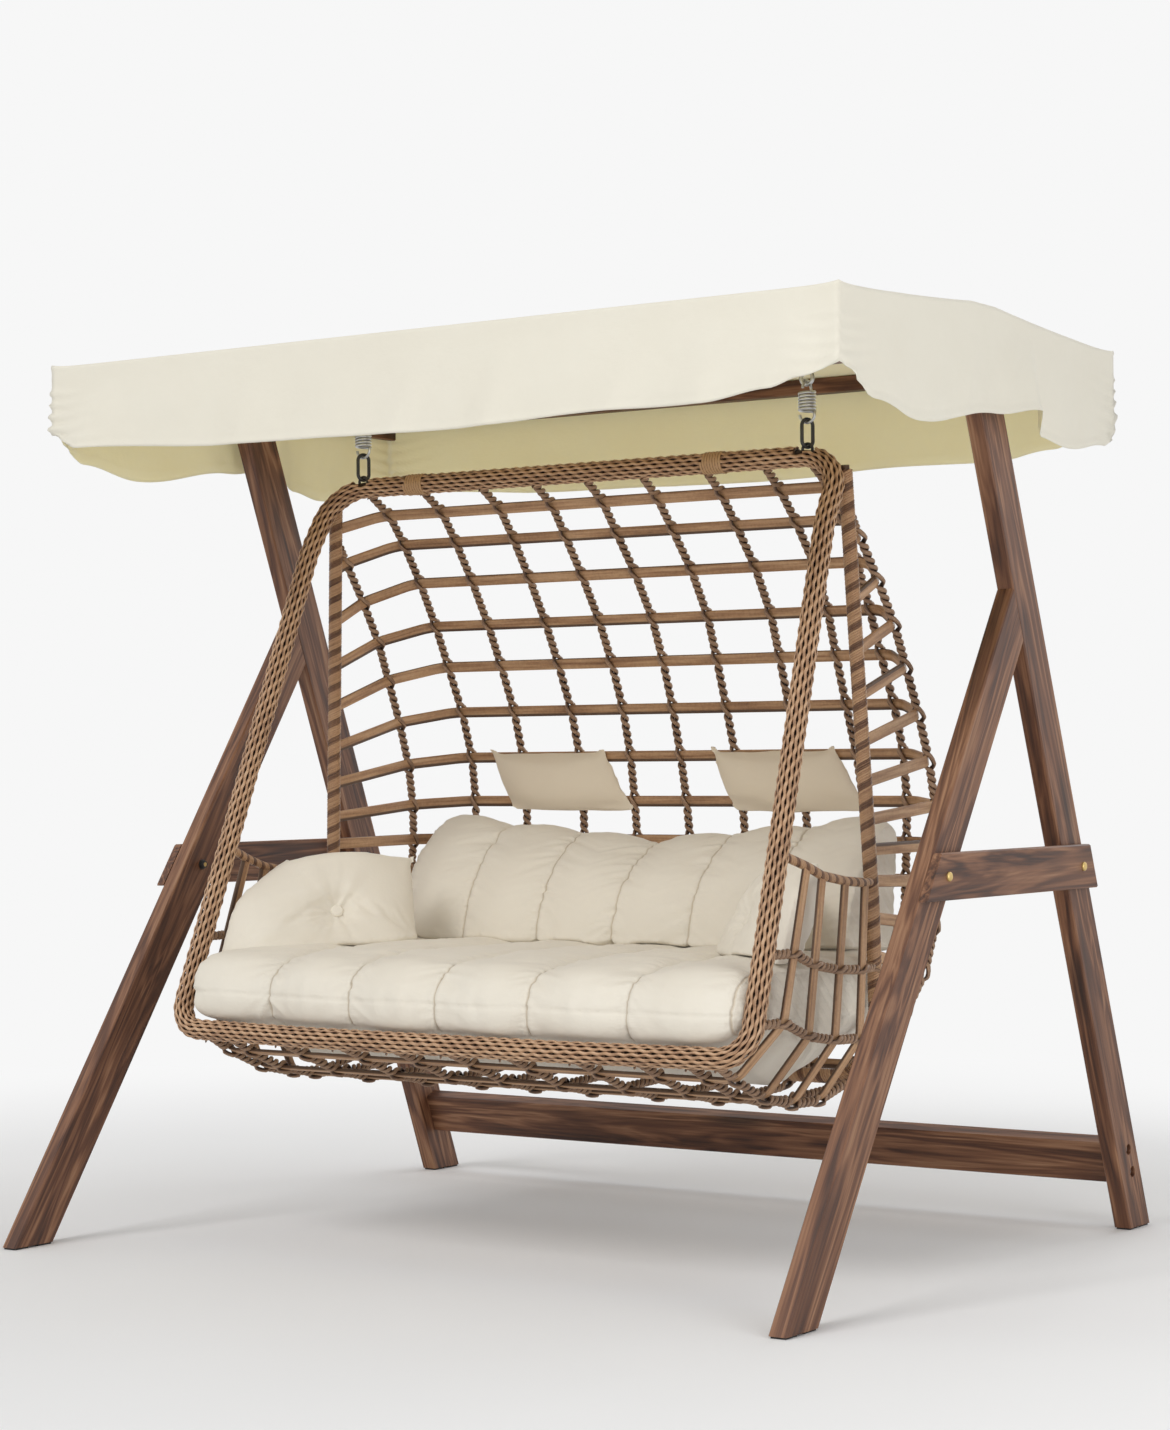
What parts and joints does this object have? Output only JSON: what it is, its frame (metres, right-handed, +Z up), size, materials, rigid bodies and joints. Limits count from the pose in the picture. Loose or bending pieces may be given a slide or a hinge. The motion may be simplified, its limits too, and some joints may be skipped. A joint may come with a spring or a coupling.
{
  "type": "rattan swing seat",
  "caption": "Cushioned wicker basket seat hung on coil springs inside a timber A-frame stand with a cloth canopy.",
  "frame": {"origin": "floor level under the middle of the stand", "axes": "+X to the right as seen from the front, +Y to the rear, +Z up"},
  "size_m": [2.0822, 1.642, 2.0033],
  "materials": {
    "timber": "walnut-stained softwood, satin",
    "pad_rubber": "matte",
    "bolt_brass": "brass-plated",
    "zinc": "zinc-plated",
    "spring_steel": "zinc-plated",
    "black_steel": "black powder coat",
    "canopy_cloth": "plain weave",
    "wicker": "plaited flat cane",
    "band": "flat cane binding",
    "rail_strip": "flat cane strip",
    "rope": "twisted cane rope",
    "cushion_cloth": "plain weave"
  },
  "bodies": {
    "stand": {"rear_post_right": "timber", "rear_post_left": "timber", "front_leg_right": "timber", "front_leg_left": "timber", "side_tie_right": "timber", "side_tie_left": "timber", "rear_stretcher": "timber", "top_beam": "timber", "canopy_arm_right": "timber", "canopy_arm_left": "timber", "canopy_rail_front": "timber", "canopy_rail_rear": "timber", "foot_pads": "pad_rubber", "tie_bolts": "bolt_brass", "tie_nuts": "zinc", "cross_bolts": "zinc", "apex_bolts": "zinc", "canopy_arm_bolts": "zinc", "canopy_screws": "zinc", "eye_bolts": "zinc", "eye_nuts": "zinc", "canopy_roof": "canopy_cloth", "valance_front": "canopy_cloth", "valance_rear": "canopy_cloth", "valance_right": "canopy_cloth", "valance_left": "canopy_cloth"},
    "hangers": {"spring_right": "spring_steel", "spring_left": "spring_steel"},
    "links": {"hanger_link_right": "black_steel", "hanger_link_left": "black_steel"},
    "basket": {"loop_tube": "black_steel", "hanging_eyes": "black_steel", "hoop_tube": "black_steel", "loop_braid": "wicker", "hoop_wrap": "wicker", "arm_rod_right": "wicker", "arm_rod_left": "wicker", "binding_bands": "band", "back_rail_01": "rail_strip", "back_rail_02": "rail_strip", "back_rail_03": "rail_strip", "back_rail_04": "rail_strip", "back_rail_05": "rail_strip", "back_rail_06": "rail_strip", "back_rail_07": "rail_strip", "back_rail_08": "rail_strip", "back_rail_09": "rail_strip", "back_rail_10": "rail_strip", "lower_rails": "rail_strip", "seat_strips": "rail_strip", "back_ropes": "rope", "side_ropes": "rope", "seat_cushion": "cushion_cloth", "back_cushion": "cushion_cloth", "side_pillow_right": "cushion_cloth", "side_pillow_left": "cushion_cloth", "pillow_buttons": "cushion_cloth", "head_pillow_left": "cushion_cloth", "head_pillow_right": "cushion_cloth"}
  },
  "joints": [
    {"name": "swing", "type": "hinge", "parent": "stand", "child": "hangers", "pos_m": [0, -0.0225, 1.868], "axis": [1, 0, 0], "range_deg": [-15, 15]},
    {"name": "bounce", "type": "slide", "parent": "hangers", "child": "links", "axis": [0, 0, 1], "range_m": [-0.045, 0.003], "stiffness_N_per_m": 50000, "springref_m": 0.0258, "deforming": ["spring_right", "spring_left"]},
    {"name": "basket_tilt", "type": "hinge", "parent": "links", "child": "basket", "pos_m": [0, -0.0225, 1.74076], "axis": [1, 0, 0], "range_deg": [-8, 8]}
  ]
}
